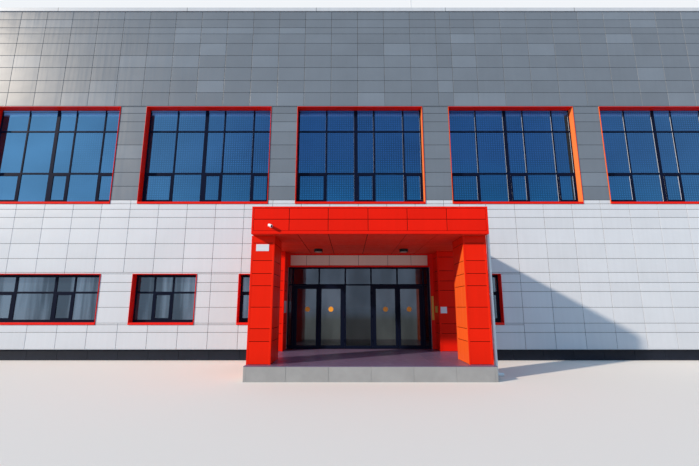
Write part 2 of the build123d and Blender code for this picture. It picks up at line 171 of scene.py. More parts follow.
# Doors, plates and small fittings
gasket_step = 0.004
disc_places = (-2.155, -1.206, 1.005, 1.9625)
disc_height = floor_level + 1.545
disc_radius = 0.1
disc_thickness = 0.002
plate_thickness = 0.006
plate_rounding = 0.002
reveal_plate_front = 0.004
reveal_plate_back = 0.002
cover_margin = 0.02
cover_thickness = 0.012
cover_lift = 0.008
camera_aim = Vector((0.80, -0.48, -0.36)).normalized()
camera_middle = Vector((portico_left + 0.635, portico_front - 0.1, canopy_bottom + 0.235))
lens_rim_place = 0.045
lens_rim_radius = 0.037
lens_rim_thickness = 0.004
lens_place = 0.049
lens_radius = 0.018
lens_thickness = 0.008
pipe_radius = 0.05
pipe_from_pillar = 0.1
clip_heights = (0.62, 2.02, 3.42)
clip_reach = 0.005
clip_height = 0.03
socket_heights = (1.3, 2.7)
socket_reach = 0.004
socket_height = 0.09

# Direction of the light, and how fast the canopy's shade falls towards the wall;
# the same fall sets the painted shade line in the pillar paint
light_direction = Vector((1.65, 1.0, -0.926))
shade_fall = -light_direction.z / light_direction.y


# Materials
def node_material(name):
    """New material with its node tree and main shader."""
    material = bpy.data.materials.new(name)
    material.use_nodes = True
    tree = material.node_tree
    shader = next(n for n in tree.nodes if n.type == "BSDF_PRINCIPLED")
    return material, tree, shader


def link(tree, source, target):
    tree.links.new(source, target)


def maths(tree, operation, first, second=None, third=None):
    """Math node whose inputs are sockets or plain numbers."""
    node = tree.nodes.new("ShaderNodeMath")
    node.operation = operation
    for place, value in enumerate((first, second, third)):
        if value is None:
            continue
        if isinstance(value, (int, float)):
            node.inputs[place].default_value = value
        else:
            link(tree, value, node.inputs[place])
    return node.outputs[0]


def noise(tree, vector, scale, detail=3.0, roughness=0.5):
    node = tree.nodes.new("ShaderNodeTexNoise")
    node.inputs["Scale"].default_value = scale
    node.inputs["Detail"].default_value = detail
    node.inputs["Roughness"].default_value = roughness
    link(tree, vector, node.inputs["Vector"])
    return node.outputs["Fac"]


def stretched(tree, vector, scale):
    """Coordinates scaled apart along each axis."""
    node = tree.nodes.new("ShaderNodeMapping")
    node.inputs["Scale"].default_value = scale
    link(tree, vector, node.inputs["Vector"])
    return node.outputs["Vector"]


def remap(tree, value, low, high, to_low, to_high):
    node = tree.nodes.new("ShaderNodeMapRange")
    node.inputs["From Min"].default_value = low
    node.inputs["From Max"].default_value = high
    node.inputs["To Min"].default_value = to_low
    node.inputs["To Max"].default_value = to_high
    link(tree, value, node.inputs["Value"])
    return node.outputs["Result"]


def scaled_colour(tree, colour, factor):
    """A colour, plain or linked, times a factor."""
    node = tree.nodes.new("ShaderNodeVectorMath")
    node.operation = "SCALE"
    if isinstance(colour, tuple):
        node.inputs[0].default_value = colour
    else:
        link(tree, colour, node.inputs[0])
    link(tree, factor, node.inputs["Scale"])
    return node.outputs["Vector"]


def blend_colours(tree, factor, first, second):
    node = tree.nodes.new("ShaderNodeMix")
    node.data_type = "RGBA"
    link(tree, factor, node.inputs["Factor"])
    for socket, colour in ((node.inputs[6], first), (node.inputs[7], second)):
        if isinstance(colour, tuple):
            socket.default_value = (*colour, 1)
        else:
            link(tree, colour, socket)
    return node.outputs[2]


def bump(tree, shader, height, distance, strength=1.0, under=None):
    node = tree.nodes.new("ShaderNodeBump")
    node.inputs["Distance"].default_value = distance
    node.inputs["Strength"].default_value = strength
    link(tree, height, node.inputs["Height"])
    if under is not None:
        link(tree, under, node.inputs["Normal"])
    link(tree, node.outputs["Normal"], shader.inputs["Normal"])
    return node.outputs["Normal"]


def wander_roughness(tree, shader, place, scale, detail, low, high):
    """Roughness that drifts between two values over the surface."""
    drift = noise(tree, place, scale, detail)
    link(tree, remap(tree, drift, 0.3, 0.7, low, high), shader.inputs["Roughness"])


def coordinates(tree, kind="Object"):
    return tree.nodes.new("ShaderNodeTexCoord").outputs[kind]


def along(tree, vector, axis):
    """One coordinate of a vector."""
    node = tree.nodes.new("ShaderNodeSeparateXYZ")
    link(tree, vector, node.inputs[0])
    return node.outputs[axis]


def lines_every(tree, value, pitch, width):
    """1 on thin lines at an even pitch, 0 between them."""
    distance = maths(tree, "PINGPONG", value, pitch / 2)
    return remap(tree, distance, width / 2, width, 1.0, 0.0)


def tone_of(tree, amount):
    """Brightness of each panel or pane, from its own tone."""
    node = tree.nodes.new("ShaderNodeAttribute")
    node.attribute_name = "tone"
    return maths(tree, "MULTIPLY_ADD", node.outputs["Fac"], amount, 1.0)


def coated_metal(name, colour, rough=0.4, tone=0.0, cloud=0.05, streak=0.05, pillow=0.0, gloss=0.5,
                 painted_sunlit_colour=None, painted_canopy_shade=False, seams=None):
    """Powder coated sheet: a tone for each panel, rain streaks, fine orange peel and a slight bow.

    A sunlit colour, if given, is painted on sides that face the light from the left:
    painted light, not faded paint. With the canopy option it stops at the line where the
    canopy's shade falls, a painted shade line above which those sides keep the plain colour.
    seams is the pitch of cover joints.
    """
    material, tree, shader = node_material(name)
    place = coordinates(tree)
    rain = noise(tree, stretched(tree, place, (7, 7, 0.35)), 1.0, 4, 0.6)
    factor = maths(tree, "ADD", remap(tree, noise(tree, place, 0.9, 4), 0.3, 0.7, 1 - cloud, 1 + cloud),
                   remap(tree, rain, 0.35, 0.75, 0.0, -streak))
    if tone:
        factor = maths(tree, "MULTIPLY", factor, tone_of(tree, tone))
    if seams:
        run = maths(tree, "ADD", along(tree, place, 0), seams / 3)
        factor = maths(tree, "MULTIPLY", factor,
                       maths(tree, "MULTIPLY_ADD", lines_every(tree, run, seams, 0.02), -0.6, 1.0))
    paint = colour
    # Painted light: a paler sunlit colour on sides facing the light from the left, cut off above the
    # canopy's shade line when asked.
    if painted_sunlit_colour:
        leftward = remap(tree, along(tree, coordinates(tree, "Normal"), 0), -0.75, -0.95, 0.0, 1.0)
        if painted_canopy_shade:
            shade_line = maths(tree, "MULTIPLY_ADD", along(tree, place, 1), shade_fall,
                               along(tree, place, 2))
            shade_end = canopy_bottom + shade_fall * portico_front
            leftward = maths(tree, "MULTIPLY", leftward,
                             remap(tree, shade_line, shade_end - 0.05, shade_end + 0.05, 1.0, 0.0))
        paint = blend_colours(tree, leftward, colour, painted_sunlit_colour)
    link(tree, scaled_colour(tree, paint, factor), shader.inputs["Base Color"])
    link(tree, remap(tree, rain, 0.3, 0.7, rough - 0.06, rough + 0.08), shader.inputs["Roughness"])
    shader.inputs["Specular IOR Level"].default_value = gloss
    peel = bump(tree, shader, noise(tree, place, 260, 2), 0.0004, 0.25)
    if pillow:
        panel_map = tree.nodes.new("ShaderNodeUVMap")
        panel_map.uv_map = "panel"
        across = maths(tree, "PINGPONG", along(tree, panel_map.outputs["UV"], 0), 0.5)
        upward = maths(tree, "PINGPONG", along(tree, panel_map.outputs["UV"], 1), 0.5)
        bump(tree, shader, maths(tree, "SMOOTH_MIN", across, upward, 0.5), pillow, 1.0, peel)
    return material


def masonry(name, colour, rough=0.85, grain=60.0, splash_height=None, gloss=0.5):
    """Stone, screed or render with clouds, pores and an optional pale splash zone above the ground."""
    material, tree, shader = node_material(name)
    place = coordinates(tree)
    factor = remap(tree, noise(tree, place, 1.3, 6, 0.62), 0.28, 0.72, 0.88, 1.12)
    if splash_height:
        splash = maths(tree, "MULTIPLY", remap(tree, along(tree, place, 2), 0.0, splash_height, 0.6, 0.0),
                       remap(tree, noise(tree, place, 5, 4), 0.3, 0.7, 0.4, 1.4))
        factor = maths(tree, "ADD", factor, splash)
    link(tree, scaled_colour(tree, colour, factor), shader.inputs["Base Color"])
    wander_roughness(tree, shader, place, 7, 4, rough - 0.08, rough + 0.08)
    shader.inputs["Specular IOR Level"].default_value = gloss
    bump(tree, shader, noise(tree, place, grain, 5, 0.7), 0.002, 0.6)
    return material


def glazed_tile(name, colour, rough):
    """Fired floor tiles, smooth, each with its own tone and faint mottling."""
    material, tree, shader = node_material(name)
    place = coordinates(tree)
    mottle = remap(tree, noise(tree, place, 9, 5, 0.6), 0.3, 0.7, 0.9, 1.1)
    factor = maths(tree, "MULTIPLY", mottle, tone_of(tree, 0.08))
    link(tree, scaled_colour(tree, colour, factor), shader.inputs["Base Color"])
    wander_roughness(tree, shader, place, 4, 4, rough, rough + 0.12)
    bump(tree, shader, noise(tree, place, 140, 3), 0.0004, 0.1)
    return material


def roofing_felt(name, colour, seam_pitch):
    """Welded felt laid in strips, with lapped seams and dust."""
    material, tree, shader = node_material(name)
    place = coordinates(tree)
    seam = lines_every(tree, along(tree, place, 0), seam_pitch, 0.05)
    dust = remap(tree, noise(tree, place, 0.7, 6, 0.6), 0.3, 0.7, 0.82, 1.15)
    factor = maths(tree, "MULTIPLY", dust, maths(tree, "MULTIPLY_ADD", seam, -0.3, 1.0))
    link(tree, scaled_colour(tree, colour, factor), shader.inputs["Base Color"])
    wander_roughness(tree, shader, place, 3, 3, 0.8, 0.95)
    grain = bump(tree, shader, noise(tree, place, 220, 3), 0.001, 0.5)
    bump(tree, shader, seam, 0.004, 1.0, grain)
    return material


def backing_wall(name, gap_colour, plaster_colour):
    """Dark behind the cladding, plastered inside."""
    material, tree, shader = node_material(name)
    place = coordinates(tree)
    across = maths(tree, "ABSOLUTE", along(tree, place, 0))
    deep = maths(tree, "ABSOLUTE", along(tree, place, 1))
    outside = maths(tree, "MAXIMUM", maths(tree, "GREATER_THAN", across, half_length - 0.01),
                    maths(tree, "GREATER_THAN", deep, half_depth - 0.01))
    colour = blend_colours(tree, outside, plaster_colour, gap_colour)
    shade = remap(tree, noise(tree, place, 2.0, 5), 0.3, 0.7, 0.9, 1.08)
    link(tree, scaled_colour(tree, colour, shade), shader.inputs["Base Color"])
    wander_roughness(tree, shader, place, 12, 3, 0.8, 0.95)
    bump(tree, shader, noise(tree, place, 90, 4), 0.001, 0.4)
    return material


def mirror_coat(tree, shader, place, metal, alpha, rough):
    """Surface of coated glazing: nearly smooth, a little wavy, slightly see-through."""
    wander_roughness(tree, shader, place, 30, 2, rough, rough + 0.03)
    shader.inputs["Metallic"].default_value = metal
    shader.inputs["Alpha"].default_value = alpha
    bump(tree, shader, noise(tree, place, 0.8, 2), 0.003, 0.25)


def hall_glazing(name):
    """Blue coated panes, paler towards the left end and the sill, with the ball net behind them.

    Towards the left end, and a little towards the right end, the paler blue is a painted sky
    reflection. Under the head lining the panes mirror less and their colour is painted brighter
    against the lining's shade.
    """
    head_blue, sill_blue, painted_reflection_blue = (0.019, 0.080, 0.238), (0.014, 0.108, 0.275), (0.088, 0.255, 0.480)
    net_mesh, net_cord = 0.1, 0.03
    material, tree, shader = node_material(name)
    place = coordinates(tree)
    run, height = along(tree, place, 0), along(tree, place, 2)
    deep_blue = blend_colours(tree, remap(tree, height, window_bottom, window_bottom + 2.2, 1.0, 0.0),
                              head_blue, sill_blue)
    # Painted sky reflection: the blue turns paler towards the left end and a little towards the right end.
    leftward = remap(tree, run, -3.0, -14.0, 0.0, 1.0)
    rightward = remap(tree, run, 7.5, 15.0, 0.0, 0.3)
    painted_reflection_share = maths(tree, "MAXIMUM", leftward, rightward)
    colour = blend_colours(tree, painted_reflection_share, deep_blue, painted_reflection_blue)
    net = maths(tree, "MAXIMUM", lines_every(tree, run, net_mesh, net_cord),
                lines_every(tree, height, net_mesh, net_cord))
    sag = remap(tree, noise(tree, place, 0.5, 2), 0.4, 0.6, 0.5, 1.0)
    # Painted brightening under the head lining, making up for the lining's shade; the panes also mirror
    # less there.
    painted_lift_under_head = remap(tree, height, window_top - 0.32, window_top - 0.2, 0.0, 1.0)
    cloud = remap(tree, noise(tree, stretched(tree, place, (0.3, 1, 0.6)), 1.0, 4), 0.35, 0.7, 0.94, 1.1)
    contrast = maths(tree, "MULTIPLY", sag, maths(tree, "MULTIPLY_ADD", leftward, -0.9, 1.0))
    factor = maths(tree, "MULTIPLY", maths(tree, "MULTIPLY", cloud, tone_of(tree, 0.05)),
                   maths(tree, "MULTIPLY_ADD", maths(tree, "MULTIPLY", net, contrast), -0.6,
                         maths(tree, "MULTIPLY_ADD", contrast, 0.35, 1.0)))
    factor = maths(tree, "MULTIPLY", factor, maths(tree, "MULTIPLY_ADD", painted_lift_under_head, 1.2, 1.0))
    link(tree, scaled_colour(tree, colour, factor), shader.inputs["Base Color"])
    mirror_coat(tree, shader, place, 0.95, 0.94, 0.02)
    link(tree, maths(tree, "MULTIPLY_ADD", painted_lift_under_head, -0.9, 0.95), shader.inputs["Metallic"])
    return material


def room_glazing(name, colour, pale, drape_width):
    """Panes with long soft folds of something pale hanging behind them."""
    material, tree, shader = node_material(name)
    place = coordinates(tree)
    folds = noise(tree, stretched(tree, place, (1 / drape_width, 1, 0.16)), 1.0, 3, 0.55)
    hung = remap(tree, folds, 0.42, 0.6, 0.0, 1.0)
    factor = tone_of(tree, 0.12)
    link(tree, scaled_colour(tree, blend_colours(tree, hung, colour, pale), factor),
         shader.inputs["Base Color"])
    mirror_coat(tree, shader, place, 0.75, 0.93, 0.04)
    return material


def entrance_glazing(name, low_colour, high_colour, alpha):
    """Clear panes of the entrance; a painted reflection makes them darker low, paler and bluer high."""
    material, tree, shader = node_material(name)
    place = coordinates(tree)
    height = along(tree, place, 2)
    # Painted reflection: a ground colour below knee height blending to a sky colour above chest height.
    colour = blend_colours(tree, remap(tree, height, floor_level + 1.1, floor_level + 1.45, 0.0, 1.0),
                           low_colour, high_colour)
    soft = remap(tree, noise(tree, stretched(tree, place, (1.3, 1, 0.5)), 1.0, 3), 0.35, 0.65, 0.75, 1.2)
    link(tree, scaled_colour(tree, colour, soft), shader.inputs["Base Color"])
    mirror_coat(tree, shader, place, 0.85, alpha, 0.03)
    return material


white_paint = coated_metal("white_cassette_coat", (0.70, 0.72, 0.76), 0.38, tone=0.03, cloud=0.02,
                           streak=0.04, pillow=0.006)
# Grey cassettes: sides facing the light from the left are painted pale, a painted highlight along the
# joints.
grey_paint = coated_metal("grey_cassette_coat", (0.159, 0.190, 0.232), 0.34, tone=0.16, cloud=0.04,
                          streak=0.04, pillow=0.006, painted_sunlit_colour=(0.36, 0.38, 0.41))
red_paint = coated_metal("red_cassette_coat", (0.88, 0.014, 0.004), 0.36, tone=0.04, cloud=0.02,
                         streak=0.04, pillow=0.004, gloss=0.06)
# Pillar red with painted light: orange on sides facing the light from the left, stopping at a painted
# shade line under the canopy.
red_paint_painted_sunlit_side = coated_metal("red_cassette_coat_painted_sunlit_side", (0.88, 0.018, 0.004), 0.36, tone=0.04,
                                cloud=0.02, streak=0.04, pillow=0.004, gloss=0.06,
                                painted_sunlit_colour=(0.82, 0.105, 0.015), painted_canopy_shade=True)
soffit_paint = coated_metal("red_soffit_coat", (0.90, 0.042, 0.018), 0.5, tone=0.05, cloud=0.02,
                            streak=0.02, gloss=0.1)
red_trim = coated_metal("red_folded_trim", (0.90, 0.018, 0.010), 0.36, cloud=0.03, streak=0.04, gloss=0.14)
# Upper window linings: reveals facing the light from the left are painted orange, a painted sunlit colour.
red_trim_painted_sunlit_side = coated_metal("red_folded_trim_painted_sunlit_side", (0.90, 0.014, 0.004), 0.36, cloud=0.03,
                               streak=0.04, gloss=0.08, painted_sunlit_colour=(0.95, 0.24, 0.06))
black_paint = coated_metal("black_window_coat", (0.004, 0.007, 0.022), 0.4, cloud=0.1, streak=0.1,
                           gloss=0.06)
# Upper window bars and sashes: sides facing the light from the left are painted pale, a painted highlight.
black_paint_painted_sunlit_side = coated_metal("black_window_coat_painted_sunlit_side", (0.004, 0.008, 0.028), 0.4, cloud=0.1,
                                  streak=0.1, gloss=0.04, painted_sunlit_colour=(0.66, 0.71, 0.78))
# White strip over the doors, tinted warm: painted red light bouncing from the portico.
strip_paint = coated_metal("white_cassette_coat_painted_red_bounce", (0.81, 0.72, 0.60), 0.38, tone=0.03, cloud=0.02,
                           streak=0.04, pillow=0.006)
coping_paint = coated_metal("white_folded_coping", (0.62, 0.645, 0.685), 0.4, cloud=0.04, streak=0.08,
                            seams=6.0)
flashing_paint = coated_metal("white_drip_flashing", (0.55, 0.58, 0.63), 0.42, cloud=0.05, streak=0.1)
white_plastic = coated_metal("white_fitting_shell", (0.74, 0.75, 0.77), 0.42, cloud=0.04, streak=0.05)
pipe_paint = coated_metal("white_pipe_coat", (0.78, 0.80, 0.82), 0.45, cloud=0.05, streak=0.1)
# Dark red core showing in the red panels' joints: painted shade in the grooves.
red_gap_shade = coated_metal("dark_red_joint_painted_shade", (0.06, 0.003, 0.002), 0.8, cloud=0.1, streak=0.1,
                             gloss=0.05)
gasket_rubber = coated_metal("black_gasket_rubber", (0.006, 0.006, 0.007), 0.7, gloss=0.2)
lamp_metal = coated_metal("dark_lamp_housing", (0.010, 0.008, 0.008), 0.5, gloss=0.2)
lamp_diffuser = coated_metal("opal_lamp_cover", (0.62, 0.56, 0.48), 0.35, cloud=0.05, streak=0.02)
lens_glass = coated_metal("dark_lens", (0.004, 0.004, 0.006), 0.12)
white_plate = coated_metal("white_sign_plate", (0.72, 0.75, 0.80), 0.3, cloud=0.03, streak=0.03)
yellow_plate = coated_metal("yellow_sign_plate", (0.78, 0.56, 0.10), 0.35, cloud=0.05, streak=0.04)
orange_film = coated_metal("orange_door_film", (0.95, 0.40, 0.02), 0.4, cloud=0.05, streak=0.03)
plinth_stone = masonry("dark_plinth_facing", (0.008, 0.011, 0.020), 0.6, splash_height=0.3, gloss=0.2)
kerb_stone = masonry("pale_edging_stone", (0.36, 0.355, 0.35), 0.85, grain=90)
screed = masonry("floor_screed", (0.34, 0.33, 0.31))
felt = roofing_felt("roof_membrane_felt", (0.22, 0.23, 0.235), 1.0)
# Porch tiles: the plum colour is painted shade, grey tile lit by blue sky and red light from the portico.
porch_tile = glazed_tile("porch_tile_painted_plum_shade", (0.146, 0.105, 0.188), 0.3)
wall_backing = backing_wall("wall_behind_cladding", (0.02, 0.022, 0.026), (0.42, 0.42, 0.40))
hall_glass = hall_glazing("blue_coated_glazing")
room_glass = room_glazing("grey_blue_glazing", (0.070, 0.104, 0.145), (0.180, 0.250, 0.330), 0.42)
# Entrance panes: their low and high colours are a painted reflection of ground and sky.
door_glass = entrance_glazing("clear_door_glazing", (0.075, 0.083, 0.082), (0.085, 0.106, 0.138), 0.94)
screen_glass = entrance_glazing("clear_screen_glazing", (0.036, 0.039, 0.042), (0.064, 0.084, 0.114), 0.9)


# Mesh helpers
def new_piece(name, mesh, materials, body, *replaced, slot=None):
    """Turns a finished mesh into a piece of the model."""
    bmesh.ops.recalc_face_normals(mesh, faces=mesh.faces)
    data = bpy.data.meshes.new(name)
    mesh.to_mesh(data)
    mesh.free()
    for material in materials:
        data.materials.append(material)
    piece = bpy.data.objects.new(name, data)
    bpy.context.scene.collection.objects.link(piece)
    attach(piece, body)
    if replaced:
        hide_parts(*replaced)
    return piece


def new_mesh():
    """Empty mesh with a tone for each face and a map that runs from 0 to 1 over each panel."""
    mesh = bmesh.new()
    mesh.faces.layers.float.new("tone")
    mesh.loops.layers.uv.new("panel")
    return mesh


def block(mesh, x0, x1, y0, y1, z0, z1, tone=0.0, material=0):
    """Box between two corners, mapped across its front."""
    size = Matrix.Diagonal((x1 - x0, y1 - y0, z1 - z0, 1))
    middle = Matrix.Translation(((x0 + x1) / 2, (y0 + y1) / 2, (z0 + z1) / 2))
    made = bmesh.ops.create_cube(mesh, size=1, matrix=middle @ size)
    tones = mesh.faces.layers.float["tone"]
    panel_map = mesh.loops.layers.uv["panel"]
    faces = list(dict.fromkeys(face for corner in made["verts"] for face in corner.link_faces))
    for face in faces:
        face[tones] = tone
        face.material_index = material
        for loop in face.loops:
            spot = loop.vert.co
            loop[panel_map].uv = ((spot.x - x0) / (x1 - x0), (spot.z - z0) / (z1 - z0))
    return faces


def edges_of(faces):
    return list(dict.fromkeys(edge for face in faces for edge in face.edges))


def soften(mesh, edges, width, segments=1):
    bmesh.ops.bevel(mesh, geom=list(edges), offset=width, segments=segments, profile=0.5,
                    affect="EDGES", material=-1, clamp_overlap=True)


def rounded_block(mesh, x0, x1, y0, y1, z0, z1, width=sheet_rounding, material=0):
    """Box with all its edges rounded."""
    soften(mesh, edges_of(block(mesh, x0, x1, y0, y1, z0, z1, material=material)), width, 2)


def disc(mesh, centre, direction, radius, thickness, segments=32):
    """Flat round plate standing across a direction."""
    turn = Vector(direction).to_track_quat("Z", "Y").to_matrix().to_4x4()
    made = bmesh.ops.create_cone(mesh, cap_ends=True, segments=segments, radius1=radius, radius2=radius,
                                 depth=thickness, matrix=Matrix.Translation(centre) @ turn)
    faces = list(dict.fromkeys(face for corner in made["verts"] for face in corner.link_faces))
    rims = [edge for edge in edges_of(faces) if edge.calc_face_angle() > 1.0]
    soften(mesh, rims, thickness / 3)


def ring(mesh, x0, x1, z0, z1, width, y_front, depth, material=0):
    """Flat rectangular ring, its outer edge given, from y_front back by a depth."""
    spread = Matrix.Translation(((x0 + x1) / 2, y_front, (z0 + z1) / 2))
    turn = Matrix.Rotation(math.radians(90), 4, "X")
    size = Matrix.Diagonal(((x1 - x0) / 2, (z1 - z0) / 2, 1, 1))
    made = bmesh.ops.create_grid(mesh, x_segments=1, y_segments=1, size=1, matrix=spread @ turn @ size)
    face = made["verts"][0].link_faces[0]
    rim = bmesh.ops.inset_region(mesh, faces=[face], thickness=width, use_boundary=True,
                                  use_even_offset=True)["faces"]
    bmesh.ops.delete(mesh, geom=[face], context="FACES")
    grown = bmesh.ops.extrude_face_region(mesh, geom=rim)
    corners = [part for part in grown["geom"] if isinstance(part, bmesh.types.BMVert)]
    bmesh.ops.translate(mesh, verts=corners, vec=(0, depth, 0))
    near = {linked for part in rim for corner in part.verts for linked in corner.link_faces}
    far = {linked for corner in corners for linked in corner.link_faces}
    for part in near | far:
        part.material_index = material


def turned(mesh, angle):
    """Turns a front-facing mesh round to another side of the building."""
    bmesh.ops.rotate(mesh, verts=mesh.verts, cent=(0, 0, 0), matrix=Matrix.Rotation(angle, 3, "Z"))
    return mesh


def spans_between(low, high, joints):
    """Stretches from low to high, cut at the joints that fall between them."""
    inner = [line for line in joints if low + shortest_stretch < line < high - shortest_stretch]
    cuts = [low, *inner, high]
    return list(zip(cuts, cuts[1:]))


def lines_along(start, end, pitch):
    """Joints at an even pitch from one end of a stretch to the other."""
    return [start + pitch * k for k in range(1, math.ceil((end - start) / pitch))]


def without(rectangle, hole):
    """What is left of a rectangle beside, under and over a hole."""
    x0, x1, z0, z1 = rectangle
    h0, h1, g0, g1 = hole
    if h0 >= x1 or h1 <= x0 or g0 >= z1 or g1 <= z0:
        return [rectangle]
    left = []
    if g0 > z0:
        left.append((x0, x1, z0, g0))
    if g1 < z1:
        left.append((x0, x1, g1, z1))
    low, high = max(z0, g0), min(z1, g1)
    if h0 > x0:
        left.append((x0, h0, low, high))
    if h1 < x1:
        left.append((h1, x1, low, high))
    return left


def grid_cells(x0, x1, z0, z1, columns, rows):
    return [(left, right, low, high) for low, high in spans_between(z0, z1, rows)
            for left, right in spans_between(x0, x1, columns)]


def cassettes(mesh, cells, face_y, depth, gap, tone=lambda: 0.0):
    """Folded sheet cassettes with a gap between them, in front of a plane that looks along -Y."""
    fronts = []
    for x0, x1, z0, z1 in cells:
        if x1 - x0 < 3 * gap or z1 - z0 < 2 * gap:
            continue
        faces = block(mesh, x0 + gap / 2, x1 - gap / 2, face_y - depth, face_y, z0 + gap / 2, z1 - gap / 2,
                      tone())
        fronts.append(min(faces, key=lambda face: face.calc_center_median().y))
    soften(mesh, edges_of(fronts), min(fold, depth / 2), 2)


def own_mesh(name):
    """A node's own shape, merged and with its flat faces whole."""
    weld_distance, flat_angle = 0.00002, 0.01
    mesh = bmesh.new()
    mesh.from_mesh(nodes[name].data)
    bmesh.ops.remove_doubles(mesh, verts=mesh.verts, dist=weld_distance)
    bmesh.ops.dissolve_limit(mesh, angle_limit=flat_angle, verts=mesh.verts, edges=mesh.edges)
    return mesh


def softened(name, piece_name, material, width, slot, body="building"):
    """A node's own shape with its edges rounded."""
    sharp_angle = 0.6
    mesh = own_mesh(name)
    sharp = [edge for edge in mesh.edges if edge.is_manifold and edge.calc_face_angle() > sharp_angle]
    soften(mesh, sharp, width, 2)
    return new_piece(piece_name, mesh, [material], body, name, slot=slot)


def finish_node(name, material):
    nodes[name].data.materials.clear()
    nodes[name].data.materials.append(material)


# Wall cladding
def any_tone():
    return chance.uniform(-1, 1)


def grey_tone():
    """Most grey cassettes are alike, a few come from a paler batch."""
    return chance.uniform(*(pale_grey if chance.random() < pale_share else usual_grey))


def holes_of(windows, bottom, top):
    return [(centre - width / 2, centre + width / 2, bottom, top) for centre, width, _, _ in windows]


def front_columns(low, high):
    """Vertical joints of the front: none on the piers or between the two left lower windows."""
    middle = (low + high) / 2
    if white_top < middle < window_top:
        return []
    lines = [left_column + panel_width * k for k in range(-9, 9)]
    lines += [narrow_column_end] + [right_column + right_panel_width * k for k in range(10)]
    if low_window_bottom < middle < low_window_top:
        wide_edge = front_windows[0][0] + front_windows[0][1] / 2
        middle_edge = front_windows[1][0] - front_windows[1][1] / 2
        lines = [line for line in lines if not wide_edge < line < middle_edge]
    return lines


def even_columns(half_width):
    """Vertical joints spread evenly about the middle of a wall."""
    count = round(half_width / panel_width)
    return [panel_width * k for k in range(-count, count + 1)]


def back_columns(low, high):
    if white_top < (low + high) / 2 < window_top:
        return []
    return even_columns(half_length)


def end_columns(low, high):
    return even_columns(half_depth)


def clad_side(name, angle, reach, face_distance, columns, holes):
    """White cassettes below and grey ones above on one side of the block."""
    for colour, low, high, paint, tone in (
            ("white", floor_level, white_top, white_paint, any_tone),
            ("grey", white_top, parapet_level, grey_paint, grey_tone)):
        cells = []
        for bottom, top in spans_between(low, high, row_joints):
            for left, right in spans_between(-reach, reach, columns(bottom, top)):
                parts = [(left, right, bottom, top)]
                for hole in holes:
                    parts = [part for cell in parts for part in without(cell, hole)]
                cells += parts
        mesh = new_mesh()
        cassettes(mesh, cells, -face_distance, panel_depth, wall_joint, tone)
        new_piece(f"{name}_{colour}_cassettes", turned(mesh, angle), [paint], "building",
                  slot=f"{colour}_cladding")


portico_holes = [
    (portico_left, portico_right, 0, canopy_bottom),
    (fascia_left, portico_right, canopy_bottom, deck_level),
]
sides = (
    ("front", 0, half_length + panel_depth, half_depth, front_columns,
     holes_of(upper_windows, window_bottom, window_top)
     + holes_of(front_windows, low_window_bottom, low_window_top) + portico_holes),
    ("back", math.pi, half_length + panel_depth, half_depth, back_columns,
     holes_of(upper_windows, window_bottom, window_top)
     + holes_of(back_windows, low_window_bottom, low_window_top)),
    ("right", math.pi / 2, half_depth, half_length, end_columns, []),
    ("left", -math.pi / 2, half_depth, half_length, end_columns, []),
)
for side in sides:
    clad_side(*side)

for name in ("front_wall_left", "front_wall_right", "front_wall_over_entrance", "back_wall_lower",
             "front_piers", "back_piers", "front_wall_top", "back_wall_top", "left_wall_lower",
             "left_wall_upper", "right_wall_lower", "right_wall_upper"):
    finish_node(name, wall_backing)


# Plinth facing and the flashing that drips over it
def line_base(name, angle, reach, plinth_distance, face_distance, holes):
    """Facing slabs on the plinth and a folded drip strip under the cladding on one side."""
    slabs = [(left, right, 0.0, floor_level - slab_top_gap)
             for left, right in spans_between(-reach, reach, even_columns(reach))]
    strips = [(-reach, reach, floor_level - drip_low, floor_level + drip_high)]
    for hole in holes:
        slabs = [part for cell in slabs for part in without(cell, hole)]
        strips = [part for cell in strips for part in without(cell, hole)]
    stone, metal = new_mesh(), new_mesh()
    cassettes(stone, slabs, -plinth_distance, slab_depth, slab_joint)
    for x0, x1, z0, z1 in strips:
        rounded_block(metal, x0, x1, -face_distance - drip_reach, -plinth_distance, z0, z1)
    new_piece(f"{name}_plinth_facing", turned(stone, angle), [plinth_stone], "building",
              slot="plinth_render")
    new_piece(f"{name}_drip_flashing", turned(metal, angle), [flashing_paint], "building",
              slot="white_coping")


platform_hole = [(portico_left, portico_right, -1, canopy_bottom)]
for name, angle, reach, plinth_distance, face_distance, holes in (
        ("front", 0, plinth_half_length, plinth_half_depth, half_depth, platform_hole),
        ("back", math.pi, plinth_half_length, plinth_half_depth, half_depth, []),
        ("right", math.pi / 2, plinth_half_depth, plinth_half_length, half_length, []),
        ("left", -math.pi / 2, plinth_half_depth, plinth_half_length, half_length, [])):
    line_base(name, angle, reach, plinth_distance, face_distance, holes)


# Windows
def pane_cells(window, bottom, top, rails):
    """Pane openings of one window as column, row and rectangle."""
    centre, width, bars, _ = window
    lefts = [centre - width / 2 + side_edge] + [centre + line + size / 2 for line, size in bars]
    rights = [centre + line - size / 2 for line, size in bars] + [centre + width / 2 - side_edge]
    bottoms = [bottom + sill_edge] + [line + size / 2 for line, size in rails]
    tops = [line - size / 2 for line, size in rails] + [top - head_edge]
    for column, (left, right) in enumerate(zip(lefts, rights)):
        for row, (low, high) in enumerate(zip(bottoms, tops)):
            yield column, row, (left, right, low, high)


